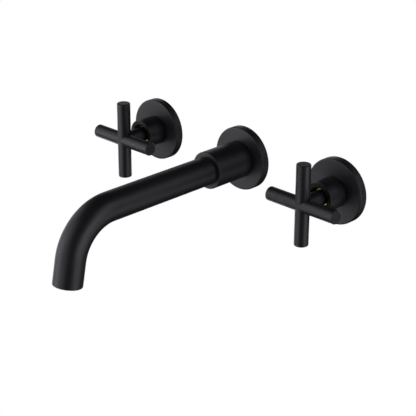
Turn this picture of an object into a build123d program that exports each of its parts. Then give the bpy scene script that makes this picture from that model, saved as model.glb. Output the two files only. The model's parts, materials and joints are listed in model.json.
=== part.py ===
from build123d import *
import os

# Wall mounted bath faucet: two cross handles and a spout on one concealed valve set.
# The wall's face is the plane y = 0. -Y points out of the wall towards the user, +Z is up,
# and the origin is on the spout's axis. A distance called "out" is measured from the wall
# along -Y, and it is negative inside the wall. All lengths are in millimetres.

# ---- driving dimensions ----
HANDLE_SPACING = 203.2  # between the two handle axes, 8 in
CLEAR = 0.03  # radial gap between fixed pieces that slide together
SLIDE_GAP = 0.05  # radial gap where a piece turns or is drawn off by hand

FLANGE_R = 27.0
FLANGE_OUT = 7.0
FLANGE_SKIN = 2.0
FLANGE_RIM = 2.4
FLANGE_HOLE_R = 10.6
FLANGE_EDGE = 1.2
GASKET_R = 19.0  # inner radius of the foam ring behind a flange
GASKET_GAP = 0.2

SLEEVE_R = 12.75
SLEEVE_OUT = 25.0
SLEEVE_MOUTH_R = 9.0
SLEEVE_THREAD_R = 10.05
SLEEVE_THREAD_OUT = 20.5
SLEEVE_EDGE = 0.5
SLEEVE_INNER_EDGE = 0.25

CROSS_OUT = 44.0  # centre of the crossing bars
BAR_R = 5.75
BAR_LENGTH = 67.0
BAR_EDGE = 0.8
HUB_R = 6.4
HUB_OUT = 21.4  # the hub's wall side, inside the sleeve's mouth
HUB_RECESS_OUT = 22.05  # the recess that takes the end of the spindle's shaft
HUB_BORE_OUT = 37.0
HUB_EDGE = 0.4

COLLAR_R = 15.65
COLLAR_OUT = 45.4
COLLAR_EDGE = 0.8
TUBE_R = 11.85
TUBE_BORE_R = 9.35
TUBE_SEAT_OUT = 31.0  # where the tube ends inside the collar
TUBE_BEND_OUT = 150.5  # where the bend starts
BEND_R = 40.0
BEND_ANGLE = 78.7
TIP_LENGTH = 20.0
TIP_EDGE = 0.9

# half-inch pipe thread, as plain cylinders at its crest
PIPE_THREAD_HOLE_R = 10.48
PIPE_THREAD_R = 10.4
SCREW_HOLE_R = 2.5  # M5
SCREW_R = 2.47
HANDLE_SCREW_HOLE_R = 2.0  # M4
# set screws: radius, tip radius, tip length, width and depth of the hexagon socket
SPOUT_SET_SCREW = (SCREW_R, 1.0, 1.4, 2.5, 2.0)
HANDLE_SET_SCREW = (1.97, 0.8, 0.9, 2.0, 1.3)
SCREW_TIP_GAP = 0.1
SCREW_SUNK = 0.4  # depth of a set screw's end below the surface

# the valve set inside the wall
BODY_OUT = -16.0  # front face of the three bodies
BODY_BACK = -65.0
BODY_R = 14.5
THREAD_END = -30.0
SEAL_DEPTH = 2.0  # counterbore for the sealing ring at a body's mouth
SEAL_BORE_R = 11.9
SEAL_GAP = 0.06
GALLERY_R = 12.0  # ring space that the water leaves the cartridge by
GALLERY_END = -38.0
NOSE_BORE_R = 9.2
SEAT_OUT = -44.0
SEAT_PORT_R = 5.0
INLET_OUT = -51.0  # axis of the upright inlet
INLET_PASSAGE_R = 6.0
INLET_NECK_R = 12.0
INLET_FLATS = 27.0
INLET_BOTTOM = -46.0  # height of the inlet's end face
INLET_HEX_TOP = -32.0
INLET_TOP = 2.0  # where the upright passage ends
INLET_THREAD_LENGTH = 15.0
FORGING_FILLET = 2.0
PIPE_OUT = -34.0  # axis of the level cross pipes
PIPE_R = 7.5
PIPE_BORE_R = 6.5
PIPE_GAP = 0.2  # between a pipe's end and its socket's shoulder
PASSAGE_START = 10.0  # where a cross passage starts, inside the gallery
SOCKET_R = 10.5
SOCKET_NEAR = 16.0  # a socket's shoulder, from the body's axis
SOCKET_FAR = 26.0
BODY_SCREW_Z = 8.0
BODY_SCREW_DEPTH = 7.0
TEE_BACK = -48.0  # back of the spout body's barrel
TEE_BOSS_R = 9.0
TEE_WELL_R = 8.5
BRACKET_THICKNESS = 2.5
BRACKET_LENGTH = 272.0
BRACKET_HEIGHT = 28.0
BRACKET_TAB = (26.0, 46.0)  # width and height of the strip's widened ends
BRACKET_CORNER = 4.0
BRACKET_HOLE_R = 2.75
BRACKET_HOLES_X = 252.0
BRACKET_HOLES_Z = 30.0
BRACKET_SLOT = (38.0, 8.0)
SCREW_HEAD_R = 4.6
SCREW_CROSS = (4.6, 1.0)  # length and width of the driver's recess
SCREW_CROSS_DEPTH = 1.4
SCREW_END = 0.5

# the cartridge
WRENCH_FLATS = 25.0
WRENCH_OUT = -10.0
NECK_R = 9.9
THROAT_R = 9.4
HOUSING_THREAD_OUT = 19.5
HOUSING_THREAD_R = 10.0
HOUSING_OUT = 21.2
HOUSING_FRONT_R = 8.7
HOUSING_CONE_OUT = 19.7  # the front tapers from here to a narrow ring round the clip's recess
HOUSING_FACE_R = 6.7
CLIP_SEAT_OUT = 20.2  # the recess in the housing's front that holds the clip
CLIP_SEAT_R = 6.5
NOSE_R = 9.1
NOSE_END = -43.6
CHAMBER_R = 7.5
CHAMBER_OUT = -31.8
WINDOW_HEIGHT = 9.1  # the two side windows that the water leaves by
WINDOW_LENGTH = 4.5
WINDOW_MARGIN = 0.5
SHAFT_R = 5.5
SHAFT_OUT = 21.95
SPLINE_R = 4.0
SPLINE_ROOT_R = 3.65
SPLINE_TEETH = 20
SPLINE_GAP = 0.55  # width of the gap between two teeth
SPLINE_OUT = 36.0
SPLINE_EDGE = 0.6
GRIP_OUT = 29.0  # the groove that the handle's set screw bites in
GRIP_R = 2.9
GRIP_HALF_WIDTH = 1.0
GRIP_SLOPE = 1.1
DRIVE_R = 7.2
DRIVE_BAR = (13.0, 2.9)  # bar on the spindle's back that turns the disc
DRIVE_BAR_DEPTH = 1.2
DISC_R = 7.4
DISC_THICKNESS = 3.0
PORT_CENTRE_R = 3.9
PORT_SPAN = 52.0  # degrees
PORT_WIDTH = 3.2
SEAT_SEAL_R = 7.3
SEAT_SEAL_BORE_R = 5.8
WASHER_THICKNESS = 0.5
STACK_GAP = 0.05
RING_SECTION_R = 0.75  # O-rings on the spindle
RING_GROOVE_R = 4.0
RING_GROOVE_WIDTH = 1.9
SPINDLE_RINGS_OUT = (-24.0, -19.0)
CLIP_OUT = 20.25
CLIP_THICKNESS = 0.7
CLIP_R = 6.2
CLIP_GROOVE_R = 4.9
CLIP_OPENING = 3.4

# the spout's connector
NOZZLE_R = 8.95
NOZZLE_START = 5.0
NOZZLE_OUT = 30.0
WATERWAY_R = 5.5
LOCK_OUT = 14.0  # the groove that the spout's set screw bites in
LOCK_R = 7.9
LOCK_HALF_WIDTH = 1.2
LOCK_SLOPE = 1.2
NOZZLE_EDGE = 0.8
NOZZLE_RING_SECTION_R = 0.93
NOZZLE_GROOVE_R = 7.1
NOZZLE_GROOVE_WIDTH = 2.3
NOZZLE_RINGS_OUT = (20.0, 25.5)

# the aerator, measured back from the spout's outlet face
AERATOR_BORE_R = 10.3
AERATOR_BORE_DEPTH = 11.0
AERATOR_RECESS = 0.8
AERATOR_LENGTH = 8.4
AERATOR_R = 10.25
AERATOR_INNER_R = 8.6
AERATOR_LIP_R = 7.8
AERATOR_LIP = 1.1
AERATOR_NOTCHES = 4  # for the key that unscrews it
AERATOR_NOTCH = (2.0, 2.2)
AERATOR_NOTCH_DEPTH = 0.7
CELL_FLATS = 1.6
CELL_WALL = 0.3
CELLS_R = 7.4
HONEYCOMB_DEPTH = 3.6
JET_PLATE_START = 5.2
JET_PLATE_THICKNESS = 1.2
JET_R = 0.6
JET_RINGS = ((6.2, 18), (4.0, 12))  # radius and number of the jets
WASHER_BORE_R = 7.4

# front faces of the pieces stacked behind the chamber's front wall
spindle_flange_out = CHAMBER_OUT - WASHER_THICKNESS - 2 * STACK_GAP
turning_disc_out = spindle_flange_out - DISC_THICKNESS - STACK_GAP
fixed_disc_out = turning_disc_out - DISC_THICKNESS - STACK_GAP
seat_seal_out = fixed_disc_out - DISC_THICKNESS

half_spacing = HANDLE_SPACING / 2
sides = (("left", -1), ("right", 1))
body_screws = [(-half_spacing, BODY_SCREW_Z), (half_spacing, BODY_SCREW_Z), (0, 0)]


def front(x, out=0.0):
    """Plane parallel to the wall at a distance out of it, seen from the front."""
    return Plane(origin=(x, -out, 0), x_dir=(1, 0, 0), z_dir=(0, -1, 0))


def section(x):
    """Upright plane through an axis: the first coordinate is the distance out, the second the radius."""
    return Plane(origin=(x, 0, 0), x_dir=(0, -1, 0), z_dir=(-1, 0, 0))


def turning_axis(x):
    return Axis((x, 0, 0), (0, -1, 0))


def outline(plane, points):
    """Closed face through the points."""
    with BuildSketch(plane) as face:
        with BuildLine():
            Polyline(*points, close=True)
        make_face()
    return face.sketch


def ring_profiles(plane, outs, centre_r, section_r):
    """The round cross-sections of O-rings."""
    with BuildSketch(plane) as circles:
        with Locations(*[(out, centre_r) for out in outs]):
            Circle(section_r)
    return circles.sketch


def write(piece, name):
    piece.label = name
    export_step(piece, f"parts/{name}.step")


os.makedirs("parts", exist_ok=True)


# ---- cover plates ----
def make_flange(name, x):
    """Shallow cup with its mouth to the wall."""
    with BuildPart() as flange:
        inner_r = FLANGE_R - FLANGE_RIM
        back = FLANGE_OUT - FLANGE_SKIN
        points = [
            (0, inner_r),
            (0, FLANGE_R),
            (FLANGE_OUT, FLANGE_R),
            (FLANGE_OUT, FLANGE_HOLE_R),
            (back, FLANGE_HOLE_R),
            (back, inner_r),
        ]
        revolve(outline(section(x), points), axis=turning_axis(x))
        front_edges = flange.edges().filter_by(GeomType.CIRCLE).group_by(Axis.Y)[0]
        fillet(front_edges.sort_by(SortBy.RADIUS)[-1], FLANGE_EDGE)
    write(flange.part, f"{name}_flange")


def make_gasket(name, x):
    """Foam ring that fills the flange's cup against the wall."""
    with BuildPart() as gasket:
        with BuildSketch(front(x)):
            Circle(FLANGE_R - FLANGE_RIM - GASKET_GAP)
            Circle(GASKET_R, mode=Mode.SUBTRACT)
        extrude(amount=FLANGE_OUT - FLANGE_SKIN)
    write(gasket.part, f"{name}_gasket")


# ---- handles ----
def make_sleeve(name, x):
    """Tube screwed on the cartridge housing, with an open mouth round the handle's hub."""
    with BuildPart() as sleeve:
        points = [
            (FLANGE_OUT, SLEEVE_THREAD_R),
            (FLANGE_OUT, SLEEVE_R),
            (SLEEVE_OUT, SLEEVE_R),
            (SLEEVE_OUT, SLEEVE_MOUTH_R),
            (SLEEVE_THREAD_OUT, SLEEVE_MOUTH_R),
            (SLEEVE_THREAD_OUT, SLEEVE_THREAD_R),
        ]
        revolve(outline(section(x), points), axis=turning_axis(x))
        mouth = sleeve.edges().filter_by(GeomType.CIRCLE).group_by(Axis.Y)[0]
        fillet(mouth.sort_by(SortBy.RADIUS)[-1], SLEEVE_EDGE)
        fillet(mouth.sort_by(SortBy.RADIUS)[0], SLEEVE_INNER_EDGE)
    write(sleeve.part, f"{name}_sleeve")


def make_handle_cross(name, x):
    """Two bars crossing on a hub, with the bore for the spindle and the set screw's hole."""
    with BuildPart() as cross:
        for bar_axis in (Vector(1, 0, 0), Vector(0, 0, 1)):
            start = Vector(x, -CROSS_OUT, 0) - bar_axis * (BAR_LENGTH / 2)
            with BuildSketch(Plane(origin=start, z_dir=bar_axis)):
                Circle(BAR_R)
            extrude(amount=BAR_LENGTH)
        ends = cross.faces().filter_by(GeomType.PLANE).edges()
        fillet(ends, BAR_EDGE)
        with BuildSketch(front(x, HUB_OUT)):
            Circle(HUB_R)
        extrude(amount=CROSS_OUT - HUB_OUT)
        hub_end = cross.faces().filter_by(Axis.Y).sort_by(Axis.Y)[-1]
        fillet(hub_end.edges(), HUB_EDGE)
        with BuildSketch(front(x, HUB_OUT)):
            Circle(SPLINE_R + CLEAR)
        extrude(amount=HUB_BORE_OUT - HUB_OUT, mode=Mode.SUBTRACT)
        with BuildSketch(front(x, HUB_OUT)):
            Circle(SHAFT_R + SLIDE_GAP)
        extrude(amount=HUB_RECESS_OUT - HUB_OUT, mode=Mode.SUBTRACT)
        with BuildSketch(Plane(origin=(x, -GRIP_OUT, 0), z_dir=(0, 0, -1))):
            Circle(HANDLE_SCREW_HOLE_R)
        extrude(amount=HUB_R, mode=Mode.SUBTRACT)
    write(cross.part, f"{name}_handle_cross")


def make_set_screw(name, x, out, surface_r, groove_r, sizes):
    """Grub screw from below: its socket looks down and its cone tip sits in a groove."""
    screw_r, tip_r, tip_length, socket_flats, socket_depth = sizes
    head_end = surface_r - SCREW_SUNK
    tip_end = groove_r + SCREW_TIP_GAP
    with BuildPart() as screw:
        points = [
            (0, tip_end),
            (tip_r, tip_end),
            (screw_r, tip_end + tip_length),
            (screw_r, head_end),
            (0, head_end),
        ]
        upside_down = Plane(origin=(x, -out, 0), x_dir=(1, 0, 0), z_dir=(0, 1, 0))
        revolve(outline(upside_down, points), axis=Axis((x, -out, 0), (0, 0, 1)))
        with BuildSketch(Plane(origin=(x, -out, -head_end), z_dir=(0, 0, 1))):
            RegularPolygon(radius=socket_flats / 2, side_count=6, major_radius=False)
        extrude(amount=socket_depth, mode=Mode.SUBTRACT)
    write(screw.part, name)


# ---- cartridges ----
def make_cartridge_housing(name, x):
    """Brass headwork: screwed in the valve body behind, and carrying the sleeve in front."""
    with BuildPart() as housing:
        outside = [
            (NOSE_END, CHAMBER_R),
            (NOSE_END, NOSE_R),
            (THREAD_END, NOSE_R),
            (THREAD_END, PIPE_THREAD_R),
            (BODY_OUT - SEAL_DEPTH, PIPE_THREAD_R),
            (BODY_OUT - SEAL_DEPTH, NECK_R),
            (WRENCH_OUT, NECK_R),
            (WRENCH_OUT, THROAT_R),
            (0, THROAT_R),
            (0, HOUSING_THREAD_R),
            (HOUSING_THREAD_OUT, HOUSING_THREAD_R),
            (HOUSING_THREAD_OUT, HOUSING_FRONT_R),
            (HOUSING_CONE_OUT, HOUSING_FRONT_R),
            (HOUSING_OUT, HOUSING_FACE_R),
        ]
        inside = [
            (HOUSING_OUT, CLIP_SEAT_R),
            (CLIP_SEAT_OUT, CLIP_SEAT_R),
            (CLIP_SEAT_OUT, SHAFT_R + SLIDE_GAP),
            (CHAMBER_OUT, SHAFT_R + SLIDE_GAP),
            (CHAMBER_OUT, CHAMBER_R),
        ]
        revolve(outline(section(x), outside + inside), axis=turning_axis(x))
        with BuildSketch(front(x, BODY_OUT + CLEAR)):
            RegularPolygon(radius=WRENCH_FLATS / 2, side_count=6, major_radius=False)
            Circle(NECK_R - 1, mode=Mode.SUBTRACT)
        extrude(amount=WRENCH_OUT - BODY_OUT - CLEAR)
        with BuildSketch(front(x, GALLERY_END + WINDOW_MARGIN)):
            Rectangle(2 * PIPE_THREAD_R, WINDOW_HEIGHT)
            Circle(CHAMBER_R - WINDOW_MARGIN, mode=Mode.SUBTRACT)
        extrude(amount=WINDOW_LENGTH, mode=Mode.SUBTRACT)
    write(housing.part, f"{name}_cartridge_housing")


def make_mouth_seal(name, x):
    """O-ring in the counterbore at a body's mouth."""
    with BuildPart() as seal:
        section_r = (SEAL_BORE_R - NECK_R) / 2 - SEAL_GAP
        centre_r = (SEAL_BORE_R + NECK_R) / 2
        out = BODY_OUT - SEAL_DEPTH / 2
        revolve(ring_profiles(section(x), [out], centre_r, section_r), axis=turning_axis(x))
    write(seal.part, f"{name}_seal")


def make_spindle(name, x):
    """Shaft with a drive flange behind, two O-ring grooves, a clip groove and a spline in front."""
    flange_back = spindle_flange_out - DISC_THICKNESS
    half_groove = RING_GROOVE_WIDTH / 2
    with BuildPart() as spindle:
        shaft = [
            (flange_back, 0),
            (flange_back, DRIVE_R),
            (spindle_flange_out, DRIVE_R),
            (spindle_flange_out, SHAFT_R),
        ]
        for out in SPINDLE_RINGS_OUT:
            shaft += [
                (out - half_groove, SHAFT_R),
                (out - half_groove, RING_GROOVE_R),
                (out + half_groove, RING_GROOVE_R),
                (out + half_groove, SHAFT_R),
            ]
        tip = [
            (CLIP_OUT - SLIDE_GAP, SHAFT_R),
            (CLIP_OUT - SLIDE_GAP, CLIP_GROOVE_R),
            (CLIP_OUT + CLIP_THICKNESS + SLIDE_GAP, CLIP_GROOVE_R),
            (CLIP_OUT + CLIP_THICKNESS + SLIDE_GAP, SHAFT_R),
            (SHAFT_OUT, SHAFT_R),
            (SHAFT_OUT, SPLINE_R),
            (GRIP_OUT - GRIP_HALF_WIDTH - GRIP_SLOPE, SPLINE_R),
            (GRIP_OUT - GRIP_HALF_WIDTH, GRIP_R),
            (GRIP_OUT + GRIP_HALF_WIDTH, GRIP_R),
            (GRIP_OUT + GRIP_HALF_WIDTH + GRIP_SLOPE, SPLINE_R),
            (SPLINE_OUT - SPLINE_EDGE, SPLINE_R),
            (SPLINE_OUT, SPLINE_R - SPLINE_EDGE),
            (SPLINE_OUT, 0),
        ]
        revolve(outline(section(x), shaft + tip), axis=turning_axis(x))
        with BuildSketch(front(x, SHAFT_OUT + SPLINE_EDGE)):
            with PolarLocations(SPLINE_R, SPLINE_TEETH):
                Rectangle(2 * (SPLINE_R - SPLINE_ROOT_R), SPLINE_GAP)
        extrude(amount=SPLINE_OUT - SHAFT_OUT, mode=Mode.SUBTRACT)
        with BuildSketch(front(x, flange_back)):
            Rectangle(*DRIVE_BAR)
        extrude(amount=-DRIVE_BAR_DEPTH)
    write(spindle.part, f"{name}_spindle")


def make_spindle_rings(name, x):
    with BuildPart() as rings:
        centre_r = RING_GROOVE_R + RING_SECTION_R + 0.01
        circles = ring_profiles(section(x), SPINDLE_RINGS_OUT, centre_r, RING_SECTION_R)
        revolve(circles, axis=turning_axis(x))
    write(rings.part, f"{name}_spindle_o_rings")


def make_spindle_clip(name, x):
    """Open retaining ring in the recess of the housing's front."""
    with BuildPart() as clip:
        with BuildSketch(front(x, CLIP_OUT)):
            Circle(CLIP_R)
            Circle(CLIP_GROOVE_R + CLEAR, mode=Mode.SUBTRACT)
            with Locations((0, CLIP_R)):
                Rectangle(CLIP_OPENING, CLIP_R, mode=Mode.SUBTRACT)
        extrude(amount=CLIP_THICKNESS)
    write(clip.part, f"{name}_spindle_clip")


def make_thrust_washer(name, x):
    with BuildPart() as washer:
        with BuildSketch(front(x, CHAMBER_OUT)):
            Circle(DRIVE_R)
            Circle(SHAFT_R + 2 * SLIDE_GAP, mode=Mode.SUBTRACT)
        extrude(amount=-WASHER_THICKNESS)
    write(washer.part, f"{name}_thrust_washer")


def cut_disc_ports(angle):
    """Two opposite kidney-shaped ports through a ceramic disc, turned by an angle."""
    port_line = CenterArc((0, 0), PORT_CENTRE_R, -PORT_SPAN / 2, PORT_SPAN, mode=Mode.PRIVATE)
    with PolarLocations(0, 2, start_angle=angle):
        SlotArc(port_line, height=PORT_WIDTH, mode=Mode.SUBTRACT)


def make_turning_disc(name, x):
    """Ceramic disc with a slot for the spindle's drive bar. Shut, its ports are upright."""
    with BuildPart() as disc:
        with BuildSketch(front(x, turning_disc_out)):
            Circle(DISC_R - STACK_GAP)
            cut_disc_ports(90)
        extrude(amount=-DISC_THICKNESS)
        with BuildSketch(front(x, turning_disc_out)):
            Rectangle(2 * DISC_R, DRIVE_BAR[1] + 2 * STACK_GAP)
        extrude(amount=-DRIVE_BAR_DEPTH - STACK_GAP, mode=Mode.SUBTRACT)
    write(disc.part, f"{name}_turning_disc")


def make_fixed_disc(name, x):
    """Ceramic disc that stays on the seat. Its ports are level."""
    with BuildPart() as disc:
        with BuildSketch(front(x, fixed_disc_out)):
            Circle(DISC_R)
            cut_disc_ports(0)
        extrude(amount=-DISC_THICKNESS)
    write(disc.part, f"{name}_fixed_disc")


def make_seat_seal(name, x):
    """Rubber ring between the fixed disc and the valve body's seat."""
    with BuildPart() as seal:
        with BuildSketch(front(x, seat_seal_out)):
            Circle(SEAT_SEAL_R)
            Circle(SEAT_SEAL_BORE_R, mode=Mode.SUBTRACT)
        extrude(amount=SEAT_OUT - seat_seal_out)
    write(seal.part, f"{name}_seat_seal")


# ---- valve set in the wall ----
def make_valve_body(name, x, side):
    """Forged brass body: cartridge in front, half-inch inlet below, cross pipe on its inner side."""
    inward = -side
    socket_plane = Plane(origin=(x, -PIPE_OUT, 0), x_dir=(0, 1, 0), z_dir=(inward, 0, 0))
    inlet_plane = Plane(origin=(x, -INLET_OUT, 0), x_dir=(1, 0, 0), z_dir=(0, 0, -1))
    with BuildPart() as body:
        with BuildSketch(front(x, BODY_BACK)):
            Circle(BODY_R)
        extrude(amount=BODY_OUT - BODY_BACK)
        with BuildSketch(inlet_plane):
            Circle(INLET_NECK_R)
        extrude(amount=-INLET_HEX_TOP)
        with BuildSketch(socket_plane):
            Circle(SOCKET_R)
        extrude(amount=SOCKET_FAR)
        fillet(body.edges().filter_by(GeomType.BSPLINE), FORGING_FILLET)
        with BuildSketch(inlet_plane.offset(-INLET_HEX_TOP)):
            RegularPolygon(radius=INLET_FLATS / 2, side_count=6, major_radius=False)
        extrude(amount=INLET_HEX_TOP - INLET_BOTTOM)
        inside = [
            (BODY_OUT, 0),
            (BODY_OUT, SEAL_BORE_R),
            (BODY_OUT - SEAL_DEPTH, SEAL_BORE_R),
            (BODY_OUT - SEAL_DEPTH, PIPE_THREAD_HOLE_R),
            (THREAD_END, PIPE_THREAD_HOLE_R),
            (THREAD_END, GALLERY_R),
            (GALLERY_END, GALLERY_R),
            (GALLERY_END, NOSE_BORE_R),
            (SEAT_OUT, NOSE_BORE_R),
            (SEAT_OUT, SEAT_PORT_R),
            (INLET_OUT, SEAT_PORT_R),
            (INLET_OUT, 0),
        ]
        revolve(outline(section(x), inside), axis=turning_axis(x), mode=Mode.SUBTRACT)
        with BuildSketch(inlet_plane.offset(-INLET_TOP)):
            Circle(INLET_PASSAGE_R)
        extrude(amount=INLET_TOP - INLET_BOTTOM, mode=Mode.SUBTRACT)
        with BuildSketch(inlet_plane.offset(-INLET_BOTTOM)):
            Circle(PIPE_THREAD_HOLE_R)
        extrude(amount=-INLET_THREAD_LENGTH, mode=Mode.SUBTRACT)
        with BuildSketch(socket_plane.offset(PASSAGE_START)):
            Circle(PIPE_BORE_R)
        extrude(amount=SOCKET_FAR - PASSAGE_START, mode=Mode.SUBTRACT)
        with BuildSketch(socket_plane.offset(SOCKET_NEAR)):
            Circle(PIPE_R + CLEAR)
        extrude(amount=SOCKET_FAR - SOCKET_NEAR, mode=Mode.SUBTRACT)
        with BuildSketch(front(x, BODY_BACK)):
            with Locations((0, BODY_SCREW_Z)):
                Circle(SCREW_HOLE_R)
        extrude(amount=BODY_SCREW_DEPTH, mode=Mode.SUBTRACT)
    write(body.part, f"{name}_valve_body")


def make_spout_body():
    """Forged brass tee: the two cross pipes come in from the sides and the spout's pipe leaves."""
    across = Plane(origin=(-SOCKET_FAR, -PIPE_OUT, 0), x_dir=(0, 1, 0), z_dir=(1, 0, 0))
    with BuildPart() as body:
        with BuildSketch(front(0, TEE_BACK)):
            Circle(BODY_R)
        extrude(amount=BODY_OUT - TEE_BACK)
        with BuildSketch(front(0, BODY_BACK)):
            Circle(TEE_BOSS_R)
        extrude(amount=TEE_BACK - BODY_BACK)
        with BuildSketch(across):
            Circle(SOCKET_R)
        extrude(amount=2 * SOCKET_FAR)
        fillet(body.edges().filter_by(GeomType.BSPLINE), FORGING_FILLET)
        inside = [
            (BODY_OUT, 0),
            (BODY_OUT, SEAL_BORE_R),
            (BODY_OUT - SEAL_DEPTH, SEAL_BORE_R),
            (BODY_OUT - SEAL_DEPTH, PIPE_THREAD_HOLE_R),
            (THREAD_END, PIPE_THREAD_HOLE_R),
            (THREAD_END, TEE_WELL_R),
            (PIPE_OUT - PIPE_BORE_R, TEE_WELL_R),
            (PIPE_OUT - PIPE_BORE_R, 0),
        ]
        revolve(outline(section(0), inside), axis=turning_axis(0), mode=Mode.SUBTRACT)
        with BuildSketch(across):
            Circle(PIPE_BORE_R)
        extrude(amount=2 * SOCKET_FAR, mode=Mode.SUBTRACT)
        for end_plane in (across, across.offset(SOCKET_FAR + SOCKET_NEAR)):
            with BuildSketch(end_plane):
                Circle(PIPE_R + CLEAR)
            extrude(amount=SOCKET_FAR - SOCKET_NEAR, mode=Mode.SUBTRACT)
        with BuildSketch(front(0, BODY_BACK)):
            Circle(SCREW_HOLE_R)
        extrude(amount=BODY_SCREW_DEPTH, mode=Mode.SUBTRACT)
    write(body.part, "spout_body")


def make_cross_pipe(name, side):
    """Brass tube soldered in the sockets of two bodies."""
    start = Plane(origin=(side * (SOCKET_NEAR + PIPE_GAP), -PIPE_OUT, 0), z_dir=(side, 0, 0))
    with BuildPart() as pipe:
        with BuildSketch(start):
            Circle(PIPE_R)
            Circle(PIPE_BORE_R, mode=Mode.SUBTRACT)
        extrude(amount=half_spacing - 2 * (SOCKET_NEAR + PIPE_GAP))
    write(pipe.part, f"{name}_cross_pipe")


def make_mounting_bracket():
    """Steel strip behind the three bodies, screwed to the wall's timber at its corners."""
    tab_x = (BRACKET_LENGTH - BRACKET_TAB[0]) / 2
    with BuildPart() as bracket:
        with BuildSketch(front(0, BODY_BACK)) as bracket_outline:
            Rectangle(BRACKET_LENGTH, BRACKET_HEIGHT)
            with Locations((-tab_x, 0), (tab_x, 0)):
                Rectangle(*BRACKET_TAB)
            fillet(bracket_outline.vertices(), BRACKET_CORNER)
            with GridLocations(BRACKET_HOLES_X, BRACKET_HOLES_Z, 2, 2):
                Circle(BRACKET_HOLE_R, mode=Mode.SUBTRACT)
            with Locations((-half_spacing / 2, 0), (half_spacing / 2, 0)):
                SlotOverall(*BRACKET_SLOT, mode=Mode.SUBTRACT)
        extrude(amount=-BRACKET_THICKNESS)
        back = BRACKET_THICKNESS - BODY_BACK
        heads = [Plane(origin=(x, back, z), x_dir=(1, 0, 0), z_dir=(0, 1, 0)) for x, z in body_screws]
        with Locations(*heads):
            CounterSinkHole(SCREW_HOLE_R + SLIDE_GAP, SCREW_HEAD_R + SLIDE_GAP, depth=BRACKET_THICKNESS)
    write(bracket.part, "mounting_bracket")


def make_bracket_screws():
    """Three countersunk M5 screws through the strip into the bodies."""
    back = BODY_BACK - BRACKET_THICKNESS
    head_depth = SCREW_HEAD_R - SCREW_R
    length = BRACKET_THICKNESS + BODY_SCREW_DEPTH - SCREW_END
    with BuildPart() as screws:
        for x, z in body_screws:
            base = Plane(origin=(x, -back, z), x_dir=(0, -1, 0), z_dir=(-1, 0, 0))
            points = [
                (0, 0),
                (0, SCREW_HEAD_R),
                (head_depth, SCREW_R),
                (length - SCREW_END, SCREW_R),
                (length, SCREW_R - SCREW_END),
                (length, 0),
            ]
            revolve(outline(base, points), axis=Axis((x, 0, z), (0, -1, 0)))
            with BuildSketch(front(x, back)):
                with Locations((0, z)):
                    Rectangle(*SCREW_CROSS)
                    Rectangle(*reversed(SCREW_CROSS))
            extrude(amount=SCREW_CROSS_DEPTH, mode=Mode.SUBTRACT)
    write(screws.part, "bracket_screws")


# ---- spout ----
def make_spout_connector():
    """Brass pipe from the tee through the wall, with the nozzle that the spout slides on."""
    half_groove = NOZZLE_GROOVE_WIDTH / 2
    with BuildPart() as connector:
        outside = [
            (THREAD_END, WATERWAY_R),
            (THREAD_END, PIPE_THREAD_R),
            (BODY_OUT - SEAL_DEPTH, PIPE_THREAD_R),
            (BODY_OUT - SEAL_DEPTH, NECK_R),
            (WRENCH_OUT, NECK_R),
            (WRENCH_OUT, THROAT_R),
            (NOZZLE_START, THROAT_R),
            (NOZZLE_START, NOZZLE_R),
            (LOCK_OUT - LOCK_HALF_WIDTH - LOCK_SLOPE, NOZZLE_R),
            (LOCK_OUT - LOCK_HALF_WIDTH, LOCK_R),
            (LOCK_OUT + LOCK_HALF_WIDTH, LOCK_R),
            (LOCK_OUT + LOCK_HALF_WIDTH + LOCK_SLOPE, NOZZLE_R),
        ]
        for out in NOZZLE_RINGS_OUT:
            outside += [
                (out - half_groove, NOZZLE_R),
                (out - half_groove, NOZZLE_GROOVE_R),
                (out + half_groove, NOZZLE_GROOVE_R),
                (out + half_groove, NOZZLE_R),
            ]
        outside += [
            (NOZZLE_OUT - NOZZLE_EDGE, NOZZLE_R),
            (NOZZLE_OUT, NOZZLE_R - NOZZLE_EDGE),
            (NOZZLE_OUT, WATERWAY_R),
        ]
        revolve(outline(section(0), outside), axis=turning_axis(0))
        with BuildSketch(front(0, BODY_OUT + CLEAR)):
            RegularPolygon(radius=WRENCH_FLATS / 2, side_count=6, major_radius=False)
            Circle(NECK_R - 1, mode=Mode.SUBTRACT)
        extrude(amount=WRENCH_OUT - BODY_OUT - CLEAR)
    write(connector.part, "spout_connector")


def make_connector_rings():
    with BuildPart() as rings:
        centre_r = NOZZLE_GROOVE_R + NOZZLE_RING_SECTION_R + 0.01
        circles = ring_profiles(section(0), NOZZLE_RINGS_OUT, centre_r, NOZZLE_RING_SECTION_R)
        revolve(circles, axis=turning_axis(0))
    write(rings.part, "connector_o_rings")


def make_spout_collar():
    """Thick ring brazed on the spout's tube: it slides on the connector and is locked from below."""
    bore_r = NOZZLE_R + SLIDE_GAP
    with BuildPart() as collar:
        points = [
            (FLANGE_OUT, bore_r),
            (FLANGE_OUT, COLLAR_R),
            (COLLAR_OUT, COLLAR_R),
            (COLLAR_OUT, TUBE_R + CLEAR),
            (TUBE_SEAT_OUT, TUBE_R + CLEAR),
            (TUBE_SEAT_OUT, bore_r),
        ]
        revolve(outline(section(0), points), axis=turning_axis(0))
        front_edges = collar.edges().filter_by(GeomType.CIRCLE).group_by(Axis.Y)[0]
        fillet(front_edges.sort_by(SortBy.RADIUS)[-1], COLLAR_EDGE)
        with BuildSketch(Plane(origin=(0, -LOCK_OUT, 0), z_dir=(0, 0, -1))):
            Circle(SCREW_HOLE_R)
        extrude(amount=COLLAR_R, mode=Mode.SUBTRACT)
    write(collar.part, "spout_collar")


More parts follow.
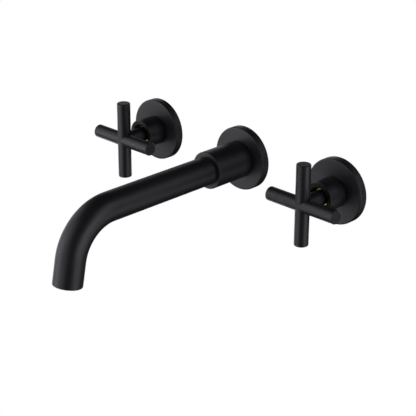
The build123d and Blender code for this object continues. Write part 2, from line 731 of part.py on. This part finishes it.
def make_spout_tube():
    """Tube bent down at its end, bored at the tip for the aerator. Returns the outlet's plane."""
    with BuildPart() as tube:
        with BuildLine() as path:
            straight = Line((0, -TUBE_SEAT_OUT - CLEAR, 0), (0, -TUBE_BEND_OUT, 0))
            with BuildLine(section(0)):
                bend = CenterArc((TUBE_BEND_OUT, -BEND_R), BEND_R, 90, -BEND_ANGLE)
            tip = Line(bend @ 1, bend @ 1 + (bend % 1) * TIP_LENGTH)
        with BuildSketch(front(0, TUBE_SEAT_OUT + CLEAR)):
            Circle(TUBE_R)
            Circle(TUBE_BORE_R, mode=Mode.SUBTRACT)
        sweep(path=path.line)
        outlet = Plane(origin=tip @ 1, x_dir=(1, 0, 0), z_dir=-(tip % 1))
        with BuildSketch(outlet):
            Circle(AERATOR_BORE_R)
        extrude(amount=AERATOR_BORE_DEPTH, mode=Mode.SUBTRACT)
        lip = tube.edges().filter_by(GeomType.CIRCLE).group_by(Axis(outlet.origin, outlet.z_dir))[0]
        fillet(lip.sort_by(SortBy.RADIUS)[-1], TIP_EDGE)
    write(tube.part, "spout_tube")
    return outlet


def make_aerator(outlet):
    """Housing screwed in the tip, with a honeycomb, a jet plate and a washer stacked in it."""
    face = outlet.offset(AERATOR_RECESS)
    inner_r = AERATOR_INNER_R - SLIDE_GAP
    with BuildPart() as housing:
        with BuildSketch(face):
            Circle(AERATOR_R)
            Circle(AERATOR_INNER_R, mode=Mode.SUBTRACT)
        extrude(amount=AERATOR_LENGTH)
        with BuildSketch(face):
            Circle(AERATOR_R - SLIDE_GAP)
            Circle(AERATOR_LIP_R, mode=Mode.SUBTRACT)
        extrude(amount=AERATOR_LIP)
        with BuildSketch(face):
            with PolarLocations(AERATOR_R, AERATOR_NOTCHES):
                Rectangle(*AERATOR_NOTCH)
        extrude(amount=AERATOR_NOTCH_DEPTH, mode=Mode.SUBTRACT)
    write(housing.part, "aerator_housing")

    with BuildPart() as honeycomb:
        with BuildSketch(face.offset(AERATOR_LIP)):
            Circle(inner_r)
            places = HexLocations((CELL_FLATS + CELL_WALL) / 2, 11, 11)
            with Locations(*[place for place in places if place.position.length < CELLS_R]):
                RegularPolygon(CELL_FLATS / 2, 6, major_radius=False, mode=Mode.SUBTRACT)
        extrude(amount=HONEYCOMB_DEPTH)
    write(honeycomb.part, "aerator_honeycomb")

    with BuildPart() as jet_plate:
        with BuildSketch(face.offset(JET_PLATE_START)):
            Circle(inner_r)
            for ring_r, jets in JET_RINGS:
                with PolarLocations(ring_r, jets):
                    Circle(JET_R, mode=Mode.SUBTRACT)
        extrude(amount=JET_PLATE_THICKNESS)
        with BuildSketch(face.offset(JET_PLATE_START)):
            Circle(inner_r)
            Circle(inner_r - JET_PLATE_THICKNESS, mode=Mode.SUBTRACT)
        extrude(amount=AERATOR_LENGTH - JET_PLATE_START)
    write(jet_plate.part, "aerator_jet_plate")

    with BuildPart() as washer:
        with BuildSketch(face.offset(AERATOR_LENGTH)):
            Circle(AERATOR_R - SLIDE_GAP)
            Circle(WASHER_BORE_R, mode=Mode.SUBTRACT)
        extrude(amount=AERATOR_BORE_DEPTH - AERATOR_RECESS - AERATOR_LENGTH)
    write(washer.part, "aerator_washer")


for name, side in sides:
    x = side * half_spacing
    make_flange(name, x)
    make_gasket(name, x)
    make_sleeve(name, x)
    make_handle_cross(name, x)
    make_set_screw(f"{name}_handle_set_screw", x, GRIP_OUT, HUB_R, GRIP_R, HANDLE_SET_SCREW)
    make_cartridge_housing(name, x)
    make_mouth_seal(f"{name}_housing", x)
    make_spindle(name, x)
    make_spindle_rings(name, x)
    make_spindle_clip(name, x)
    make_thrust_washer(name, x)
    make_turning_disc(name, x)
    make_fixed_disc(name, x)
    make_seat_seal(name, x)
    make_valve_body(name, x, side)
    make_cross_pipe(name, side)

make_flange("spout", 0)
make_gasket("spout", 0)
make_spout_collar()
make_set_screw("spout_set_screw", 0, LOCK_OUT, COLLAR_R, LOCK_R, SPOUT_SET_SCREW)
make_spout_connector()
make_connector_rings()
make_mouth_seal("connector", 0)
make_aerator(make_spout_tube())
make_spout_body()
make_mounting_bracket()
make_bracket_screws()
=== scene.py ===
import json
import math

import bmesh
import bpy
from mathutils import Euler, Matrix, Vector


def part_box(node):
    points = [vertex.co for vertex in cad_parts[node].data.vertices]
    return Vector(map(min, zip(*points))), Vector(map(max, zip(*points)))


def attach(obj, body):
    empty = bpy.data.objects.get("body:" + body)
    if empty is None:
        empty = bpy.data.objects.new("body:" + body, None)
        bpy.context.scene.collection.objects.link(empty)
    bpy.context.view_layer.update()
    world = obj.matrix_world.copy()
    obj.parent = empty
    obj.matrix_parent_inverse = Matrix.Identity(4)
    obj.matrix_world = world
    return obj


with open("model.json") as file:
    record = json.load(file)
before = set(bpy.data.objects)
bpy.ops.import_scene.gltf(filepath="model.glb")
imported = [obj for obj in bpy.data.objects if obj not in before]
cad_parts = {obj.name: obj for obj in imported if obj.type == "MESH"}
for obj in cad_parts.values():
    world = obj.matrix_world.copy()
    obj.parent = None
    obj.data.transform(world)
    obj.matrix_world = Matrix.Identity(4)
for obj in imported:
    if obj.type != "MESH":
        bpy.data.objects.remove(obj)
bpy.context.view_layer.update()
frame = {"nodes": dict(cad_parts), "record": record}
nodes = frame["nodes"]
scene = bpy.context.scene


def direction(azimuth, elevation):
    """Unit vector towards a place round the object: azimuth 0 is straight in front, 90 is +X."""
    turn, rise = math.radians(azimuth), math.radians(elevation)
    level = math.cos(rise)
    return Vector((math.sin(turn) * level, -math.cos(turn) * level, math.sin(rise)))


# ---- camera ----
CAMERA_AZIMUTH = 44.67
CAMERA_ELEVATION = 23.22
CAMERA_ROLL = math.radians(0.19)
CAMERA_DISTANCE = 1.009
CAMERA_TARGET = Vector((0.0163, -0.0600, -0.0236))
SENSOR = 36.0
LENS = 108.5
CLIP_NEAR, CLIP_FAR = 0.05, 50


def make_camera():
    camera = bpy.data.objects.new("camera", bpy.data.cameras.new("camera"))
    camera.data.sensor_width = SENSOR
    camera.data.lens = LENS
    camera.data.clip_start = CLIP_NEAR
    camera.data.clip_end = CLIP_FAR
    back = direction(CAMERA_AZIMUTH, CAMERA_ELEVATION)
    camera.rotation_mode = "QUATERNION"
    aim = (-back).to_track_quat("-Z", "Y")
    camera.rotation_quaternion = aim @ Euler((0, 0, CAMERA_ROLL)).to_quaternion()
    camera.location = CAMERA_TARGET + back * CAMERA_DISTANCE
    scene.collection.objects.link(camera)
    scene.camera = camera


make_camera()


# ---- materials ----
class Nodes:
    """Short calls for building one node material."""

    def __init__(self, name):
        self.material = bpy.data.materials.new(name)
        self.material.use_nodes = True
        self.tree = self.material.node_tree
        self.shader = self.tree.nodes["Principled BSDF"]
        self.coordinates = self.add("ShaderNodeTexCoord").outputs["Object"]

    def add(self, kind, **values):
        node = self.tree.nodes.new(kind)
        for key, value in values.items():
            setattr(node, key, value)
        return node

    def link(self, output, target):
        self.tree.links.new(output, target)

    def math(self, operation, *inputs):
        """A sum on numbers and outputs."""
        node = self.add("ShaderNodeMath", operation=operation)
        for socket, value in zip(node.inputs, inputs):
            if isinstance(value, (int, float)):
                socket.default_value = value
            else:
                self.link(value, socket)
        return node.outputs["Value"]

    def noise(self, size, detail, stretch=(1, 1, 1), coordinates=None):
        """Noise whose features are about size metres, longer where stretch is small."""
        mapping = self.add("ShaderNodeMapping")
        mapping.inputs["Scale"].default_value = stretch
        self.link(coordinates or self.coordinates, mapping.inputs["Vector"])
        noise = self.add("ShaderNodeTexNoise")
        noise.inputs["Scale"].default_value = 1 / size
        noise.inputs["Detail"].default_value = detail
        self.link(mapping.outputs["Vector"], noise.inputs["Vector"])
        return noise.outputs["Fac"]

    def cells(self, size):
        """Voronoi cells of about size metres: (distance, a random number for each cell)."""
        cells = self.add("ShaderNodeTexVoronoi")
        cells.inputs["Scale"].default_value = 1 / size
        self.link(self.coordinates, cells.inputs["Vector"])
        number = self.add("ShaderNodeSeparateColor")
        self.link(cells.outputs["Color"], number.inputs["Color"])
        return cells.outputs["Distance"], number.outputs["Red"]

    def between(self, factor, low, high, start=0.3, end=0.7):
        """A number that goes from low to high as the factor goes from start to end."""
        span = self.add("ShaderNodeMapRange")
        span.inputs["From Min"].default_value = start
        span.inputs["From Max"].default_value = end
        span.inputs["To Min"].default_value = low
        span.inputs["To Max"].default_value = high
        self.link(factor, span.inputs["Value"])
        return span.outputs["Result"]

    def blend(self, factor, first, second):
        """A colour between two, each a triple or an output, by the factor."""
        mix = self.add("ShaderNodeMix", data_type="RGBA")
        self.link(factor, mix.inputs["Factor"])
        for socket, colour in ((mix.inputs["A"], first), (mix.inputs["B"], second)):
            if isinstance(colour, tuple):
                socket.default_value = (*colour, 1)
            else:
                self.link(colour, socket)
        return mix.outputs["Result"]

    def bump(self, *layers):
        """Bump from (height, depth in metres) layers, one over another."""
        previous = None
        for height, depth in layers:
            bump = self.add("ShaderNodeBump")
            bump.inputs["Distance"].default_value = depth
            self.link(height, bump.inputs["Height"])
            if previous:
                self.link(previous, bump.inputs["Normal"])
            previous = bump.outputs["Normal"]
        self.link(previous, self.shader.inputs["Normal"])

    def lathe_coordinates(self):
        """Radius from the nearest of the three axes and distance along it, for noise in rings."""
        split = self.add("ShaderNodeSeparateXYZ")
        self.link(self.coordinates, split.inputs["Vector"])
        x, y, z = (split.outputs[axis] for axis in "XYZ")
        centre = self.math("SNAP", self.math("ADD", x, AXIS_SPACING / 2), AXIS_SPACING)
        across = self.math("SUBTRACT", x, centre)
        square = self.math("MULTIPLY", across, across)
        radius = self.math("SQRT", self.math("MULTIPLY_ADD", z, z, square))
        rings = self.add("ShaderNodeCombineXYZ")
        self.link(radius, rings.inputs["X"])
        self.link(y, rings.inputs["Y"])
        return rings.outputs["Vector"]

    def surface(self, colour=None, roughness=None, **fixed):
        """Finish the material: outputs for colour and roughness, and fixed values for the rest."""
        if colour is not None:
            self.link(colour, self.shader.inputs["Base Color"])
        if roughness is not None:
            self.link(roughness, self.shader.inputs["Roughness"])
        for key, value in fixed.items():
            self.shader.inputs[key.replace("_", " ")].default_value = value
        return self.material


def centre_x(node):
    low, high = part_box(node)
    return (low.x + high.x) / 2


AXIS_SPACING = centre_x("right_sleeve")


def matte_black():
    """Fine powder coat: tiny orange peel, faint cloudiness in its colour and its sheen."""
    n = Nodes("matte_black")
    cloud = n.noise(0.030, 3)
    grain = n.noise(0.00035, 2)
    peel = n.noise(0.0014, 3)
    n.bump((peel, 0.00002), (grain, 0.00001))
    return n.surface(
        n.blend(cloud, (0.0115, 0.0115, 0.0125), (0.0135, 0.0135, 0.0145)),
        n.between(cloud, 0.40, 0.44),
    )


def machined_brass():
    """Turned brass: rings left by the tool round each axis, and a slight tarnish."""
    n = Nodes("machined_brass")
    rings = n.noise(0.00022, 2, coordinates=n.lathe_coordinates())
    tarnish = n.noise(0.009, 5)
    n.bump((rings, 0.000004))
    return n.surface(
        n.blend(tarnish, (0.86, 0.62, 0.24), (0.66, 0.45, 0.17)),
        n.math("ADD", n.between(rings, 0.14, 0.20), n.between(tarnish, 0.0, 0.06)),
        Metallic=1.0,
    )


def forged_brass():
    """Hot-forged and blasted brass: a sandy skin with shallow pits and darker oxide."""
    n = Nodes("forged_brass")
    oxide = n.noise(0.014, 6)
    sand = n.noise(0.0006, 3)
    pits, tone = n.cells(0.0021)
    n.bump((pits, 0.00008), (sand, 0.00006))
    colour = n.blend(oxide, (0.60, 0.42, 0.19), (0.36, 0.23, 0.10))
    return n.surface(
        n.blend(n.between(tone, 0.0, 0.25, 0.0, 1.0), colour, (0.72, 0.53, 0.27)),
        n.math("ADD", n.between(oxide, 0.44, 0.58), n.between(sand, -0.05, 0.05)),
        Metallic=1.0,
    )


STRAW_REACH = (0.022, 0.013)  # distances from a tube's end where the heat colour starts and is full
PURPLE_REACH = (0.015, 0.009)


def drawn_brass():
    """Drawn tube: long faint scratches, and heat colours where its ends were soldered."""
    n = Nodes("drawn_brass")
    scratches = n.noise(0.0004, 2, stretch=(0.03, 1, 1))
    stain = n.noise(0.007, 4)
    split = n.add("ShaderNodeSeparateXYZ")
    n.link(n.coordinates, split.inputs["Vector"])
    low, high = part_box("right_cross_pipe")
    off_axis = n.math("ABSOLUTE", split.outputs["X"])
    from_middle = n.math("ABSOLUTE", n.math("SUBTRACT", off_axis, (low.x + high.x) / 2))
    heat = n.math("ADD", from_middle, n.between(stain, -0.004, 0.004))
    half_length = (high.x - low.x) / 2
    straw = n.between(heat, 0.0, 1.0, *(half_length - reach for reach in STRAW_REACH))
    purple = n.between(heat, 0.0, 0.8, *(half_length - reach for reach in PURPLE_REACH))
    n.bump((scratches, 0.000008))
    colour = n.blend(stain, (0.80, 0.57, 0.25), (0.68, 0.46, 0.19))
    colour = n.blend(straw, colour, (0.55, 0.27, 0.09))
    dulled = n.between(scratches, 0.20, 0.34)
    return n.surface(
        n.blend(purple, colour, (0.20, 0.11, 0.12)),
        n.math("ADD", dulled, n.between(heat, 0.0, 0.15, 0.0, half_length)),
        Metallic=1.0,
    )


def black_steel():
    """Blackened alloy steel: an oily oxide with a hint of brown."""
    n = Nodes("black_steel")
    bloom = n.noise(0.0012, 4)
    grain = n.noise(0.00018, 2)
    n.bump((grain, 0.000008))
    return n.surface(
        n.blend(bloom, (0.030, 0.030, 0.034), (0.055, 0.045, 0.038)),
        n.between(bloom, 0.28, 0.42),
        Metallic=0.6,
    )


def spring_steel():
    """Stamped strip: fine grinding lines and the blue-grey of tempering."""
    n = Nodes("spring_steel")
    lines = n.noise(0.00015, 2, stretch=(0.05, 1, 1))
    temper = n.noise(0.0025, 3)
    n.bump((lines, 0.000006))
    return n.surface(
        n.blend(temper, (0.30, 0.30, 0.33), (0.22, 0.20, 0.21)),
        n.between(lines, 0.28, 0.42),
        Metallic=1.0,
    )


def galvanised_steel():
    """Zinc spangle: flat crystals, each with its own grey and sheen, under a thin white bloom."""
    n = Nodes("galvanised_steel")
    edge, crystal = n.cells(0.0085)
    _, frost = n.cells(0.0031)
    bloom = n.noise(0.020, 5)
    grain = n.noise(0.0003, 2)
    n.bump((edge, 0.00002), (grain, 0.000008))
    colour = n.blend(crystal, (0.44, 0.46, 0.49), (0.70, 0.72, 0.74))
    colour = n.blend(n.between(frost, 0.0, 0.35, 0.0, 1.0), colour, (0.56, 0.58, 0.60))
    return n.surface(
        n.blend(n.between(bloom, 0.0, 0.5, 0.5, 0.75), colour, (0.74, 0.75, 0.75)),
        n.math("ADD", n.between(crystal, 0.26, 0.44, 0.0, 1.0), n.between(bloom, 0.0, 0.16)),
        Metallic=1.0,
    )


def zinc_steel():
    """Bright zinc plate, with a faint yellow and blue cast."""
    n = Nodes("zinc_steel")
    cast = n.noise(0.0035, 3)
    grain = n.noise(0.0002, 2)
    n.bump((grain, 0.000008))
    return n.surface(
        n.blend(cast, (0.60, 0.62, 0.66), (0.70, 0.66, 0.55)),
        n.between(cast, 0.24, 0.36),
        Metallic=1.0,
    )


def black_rubber():
    """Moulded nitrile: a smooth skin with a little grey bloom."""
    n = Nodes("black_rubber")
    bloom = n.noise(0.0016, 5)
    grain = n.noise(0.00012, 2)
    n.bump((grain, 0.000010))
    return n.surface(
        n.blend(bloom, (0.010, 0.010, 0.010), (0.026, 0.026, 0.027)),
        n.between(bloom, 0.48, 0.66),
    )


def foam():
    """Closed-cell foam: small round cells cut open at its surface, with painted shade darkening the
    hollow of each open cell.
    """
    n = Nodes("foam")
    holes_and_painted_shade, tone = n.cells(0.0007)
    lumps = n.noise(0.003, 3)
    n.bump((holes_and_painted_shade, 0.00025), (lumps, 0.00010))
    colour = n.blend(tone, (0.050, 0.050, 0.052), (0.090, 0.090, 0.092))
    # painted shade: the colour goes near black towards the middle of each open cell, where the pits
    # are deepest
    return n.surface(
        n.blend(n.between(holes_and_painted_shade, 1.0, 0.0, 0.0, 0.35), colour, (0.015, 0.015, 0.015)),
        n.between(lumps, 0.86, 0.96),
    )


def ceramic():
    """Lapped alumina: warm white, hard and glossy, with faint grey specks."""
    n = Nodes("ceramic")
    mottle = n.noise(0.004, 4)
    _, specks = n.cells(0.0009)
    lapping = n.noise(0.00010, 2)
    n.bump((lapping, 0.000003))
    colour = n.blend(mottle, (0.80, 0.78, 0.73), (0.88, 0.87, 0.83))
    return n.surface(
        n.blend(n.between(specks, 0.0, 0.35, 0.90, 1.0), colour, (0.55, 0.54, 0.52)),
        n.between(lapping, 0.10, 0.18),
    )


def moulded_plastic(name, light, dark, roughness):
    """Moulded acetal: a fine spark-eroded texture and slow flow marks."""
    n = Nodes(name)
    flow = n.noise(0.006, 2, stretch=(1, 0.3, 1))
    texture = n.noise(0.00020, 3)
    n.bump((texture, 0.000012))
    return n.surface(
        n.blend(flow, light, dark),
        n.between(flow, roughness - 0.04, roughness + 0.05),
    )


WHITE_PLASTIC = ((0.80, 0.80, 0.77), (0.74, 0.74, 0.71), 0.42)
GREY_PLASTIC = ((0.040, 0.040, 0.043), (0.032, 0.032, 0.034), 0.46)
materials = {
    "matte_black": matte_black(),
    "machined_brass": machined_brass(),
    "forged_brass": forged_brass(),
    "drawn_brass": drawn_brass(),
    "black_steel": black_steel(),
    "spring_steel": spring_steel(),
    "galvanised_steel": galvanised_steel(),
    "zinc_steel": zinc_steel(),
    "black_rubber": black_rubber(),
    "foam": foam(),
    "ceramic": ceramic(),
    "white_plastic": moulded_plastic("white_plastic", *WHITE_PLASTIC),
    "grey_plastic": moulded_plastic("grey_plastic", *GREY_PLASTIC),
}
slots = {row["node"]: row["material_slot"] for row in frame["record"]["subparts"]}
for name, node in nodes.items():
    node.data.materials.clear()
    node.data.materials.append(materials[slots[name]])


# ---- solder at the ends of the cross pipes ----
SOLDER_HEIGHT = 0.0012
SOLDER_STEPS = 5
SOLDER_SIDES = 64
SOLDER_SWELL = 0.18
SOLDER_RIPPLE = 0.10


def solder_profile(pipe_radius):
    """Hollow fillet from the pipe up to the socket's face: (distance from the face, radius)."""
    sunk = -SOLDER_HEIGHT / 4
    points = [(sunk, pipe_radius), (sunk, pipe_radius + SOLDER_HEIGHT)]
    for step in range(SOLDER_STEPS + 1):
        angle = math.pi / 2 * step / SOLDER_STEPS
        off = SOLDER_HEIGHT * (1 - math.cos(angle))
        points.append((off, pipe_radius + SOLDER_HEIGHT * (1 - math.sin(angle))))
    return points


def make_solder(name, pipe, body, wobble):
    """A ring of solder round a pipe where it enters a body's socket, a little uneven."""
    low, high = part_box(pipe)
    centre = (low + high) / 2
    pipe_radius = (high.z - low.z) / 2
    body_low, body_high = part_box(body)
    inner = body_high.x < centre.x
    face = body_high.x if inner else body_low.x
    away = 1 if inner else -1
    profile = solder_profile(pipe_radius)
    made = bmesh.new()
    loops = []
    for k in range(SOLDER_SIDES):
        angle = math.tau * k / SOLDER_SIDES
        wave = SOLDER_SWELL * math.sin(2 * angle + wobble)
        swell = 1 + wave + SOLDER_RIPPLE * math.sin(5 * angle + 2 * wobble)
        loop = []
        for off, radius in profile:
            grown = swell if off > 0 else 1
            radius = pipe_radius + (radius - pipe_radius) * grown
            y = centre.y + radius * math.cos(angle)
            z = centre.z + radius * math.sin(angle)
            loop.append(made.verts.new((face + away * off * grown, y, z)))
        loops.append(loop)
    for first, second in zip(loops, loops[1:] + loops[:1]):
        for k in range(len(profile)):
            after = (k + 1) % len(profile)
            made.faces.new((first[k], first[after], second[after], second[k]))
    bmesh.ops.recalc_face_normals(made, faces=made.faces[:])
    mesh = bpy.data.meshes.new(name)
    made.to_mesh(mesh)
    made.free()
    mesh.polygons.foreach_set("use_smooth", [True] * len(mesh.polygons))
    mesh.materials.append(materials["zinc_steel"])
    ring = bpy.data.objects.new(name, mesh)
    scene.collection.objects.link(ring)
    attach(ring, "root")


for number, side in enumerate(("left", "right")):
    make_solder(f"{side}_outer_solder", f"{side}_cross_pipe", f"{side}_valve_body", 0.4 + number)
    make_solder(f"{side}_inner_solder", f"{side}_cross_pipe", "spout_body", 2.1 + number)


# ---- stage ----
def stage_white():
    """Even white, as in a cut-out product picture."""
    n = Nodes("stage_white")
    glow = n.add("ShaderNodeEmission")
    glow.inputs["Color"].default_value = (1, 1, 1, 1)
    n.link(glow.outputs["Emission"], n.tree.nodes["Material Output"].inputs["Surface"])
    return n.material


WALL_GAP = 0.0006
WALL_THICKNESS = 0.012
WALL_LEFT, WALL_RIGHT = -0.38, 0.24
WALL_TOP = 0.30
FLOOR = -0.32
CUTOUT_RADIUS = 0.0165
CUTOUT_SIDES = 48
FLOOR_HALF_WIDTH = 8
PLASTER_GLOW = 0.3


def place_stage(name, made, *stage_materials):
    """A stage object that hides things from the camera and takes no light from the object."""
    mesh = bpy.data.meshes.new(name)
    made.to_mesh(mesh)
    made.free()
    for material in stage_materials:
        mesh.materials.append(material)
    stand = bpy.data.objects.new(name, mesh)
    scene.collection.objects.link(stand)
    stand.visible_diffuse = False
    stand.visible_glossy = False
    stand.visible_shadow = False


def make_wall(white):
    """A board with a round cut-out behind each cover plate."""
    plaster = Nodes("plaster").surface(
        Base_Color=(0.75, 0.75, 0.74, 1),
        Roughness=0.9,
        Emission_Color=(1, 1, 1, 1),
        Emission_Strength=PLASTER_GLOW,
    )
    made = bmesh.new()
    outlines = [
        [(WALL_LEFT, FLOOR), (WALL_RIGHT, FLOOR), (WALL_RIGHT, WALL_TOP), (WALL_LEFT, WALL_TOP)]
    ]
    turns = [math.tau * k / CUTOUT_SIDES for k in range(CUTOUT_SIDES)]
    for x in (-AXIS_SPACING, 0, AXIS_SPACING):
        outlines.append(
            [(x + CUTOUT_RADIUS * math.cos(a), CUTOUT_RADIUS * math.sin(a)) for a in turns]
        )
    rings = [[made.verts.new((x, 0, z)) for x, z in outline] for outline in outlines]
    edges = [made.edges.new(ends) for ring in rings for ends in zip(ring, ring[1:] + ring[:1])]
    bmesh.ops.triangle_fill(
        made, use_beauty=True, use_dissolve=False, edges=edges, normal=(0, -1, 0)
    )
    front = list(made.faces)
    moved = bmesh.ops.extrude_face_region(made, geom=front)["geom"]
    back = [v for v in moved if isinstance(v, bmesh.types.BMVert)]
    bmesh.ops.translate(made, verts=made.verts[:], vec=(0, WALL_GAP, 0))
    bmesh.ops.translate(made, verts=back, vec=(0, WALL_THICKNESS, 0))
    bmesh.ops.recalc_face_normals(made, faces=made.faces[:])
    for face in made.faces:
        face.material_index = 0 if face.normal.y < -0.5 else 1
    place_stage("wall", made, white, plaster)


def make_floor(white):
    made = bmesh.new()
    at_floor = Matrix.Translation((0, 0, FLOOR))
    bmesh.ops.create_grid(
        made, x_segments=1, y_segments=1, size=FLOOR_HALF_WIDTH, matrix=at_floor
    )
    place_stage("floor", made, white)


def hide_behind_wall():
    """Keep the set in the wall out of mirror reflections, as a real wall would."""
    for name, node in nodes.items():
        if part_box(name)[0].y > WALL_GAP:
            node.visible_glossy = False


white = stage_white()
make_wall(white)
make_floor(white)
hide_behind_wall()


# ---- light ----
LIGHT_DISTANCE = 1.3
LIGHT_RADIUS = 0.50
LIGHT_COLOUR = (0.97, 0.97, 1.06)
FILL_LIGHT = 0.01
SOFTBOXES = [
    # name, azimuth, elevation, light that reaches the object
    ("front", 0, 0, 0.31),
    ("front_left", 315, 0, 0.86),
    ("left", 270, -4, 0.45),
    ("upper_left", 292, 30, 0.37),
    ("upper_front", 337, 30, 0.48),
    ("lower_front", 337, -30, 0.53),
    ("right", 90, 0, 0.81),
    ("upper_right", 112, 30, 0.45),
    ("lower_right", 112, -30, 0.42),
    ("behind", 180, 0, 0.92),
    ("behind_left", 225, 2, 0.32),
    ("lower_left", 247, -34, 0.85),
]


def make_softbox(name, azimuth, elevation, strength):
    lamp = bpy.data.lights.new(name, "AREA")
    lamp.shape = "DISK"
    lamp.size = 2 * LIGHT_RADIUS
    lamp.color = LIGHT_COLOUR
    lamp.energy = strength * math.pi * LIGHT_DISTANCE**2
    softbox = bpy.data.objects.new(name, lamp)
    towards = direction(azimuth, elevation)
    softbox.location = CAMERA_TARGET + towards * LIGHT_DISTANCE
    softbox.rotation_mode = "QUATERNION"
    softbox.rotation_quaternion = towards.to_track_quat("Z", "Y")
    softbox.visible_camera = False
    scene.collection.objects.link(softbox)


def make_world():
    """White behind everything, with almost no light of its own."""
    world = bpy.data.worlds.new("world")
    world.use_nodes = True
    tree = world.node_tree
    seen = tree.nodes["Background"]
    seen.inputs["Color"].default_value = (1, 1, 1, 1)
    fill = tree.nodes.new("ShaderNodeBackground")
    fill.inputs["Strength"].default_value = FILL_LIGHT
    rays = tree.nodes.new("ShaderNodeLightPath")
    mix = tree.nodes.new("ShaderNodeMixShader")
    tree.links.new(rays.outputs["Is Camera Ray"], mix.inputs["Fac"])
    tree.links.new(fill.outputs["Background"], mix.inputs[1])
    tree.links.new(seen.outputs["Background"], mix.inputs[2])
    tree.links.new(mix.outputs["Shader"], tree.nodes["World Output"].inputs["Surface"])
    scene.world = world


for softbox in SOFTBOXES:
    make_softbox(*softbox)
make_world()
scene.view_settings.view_transform = "Standard"
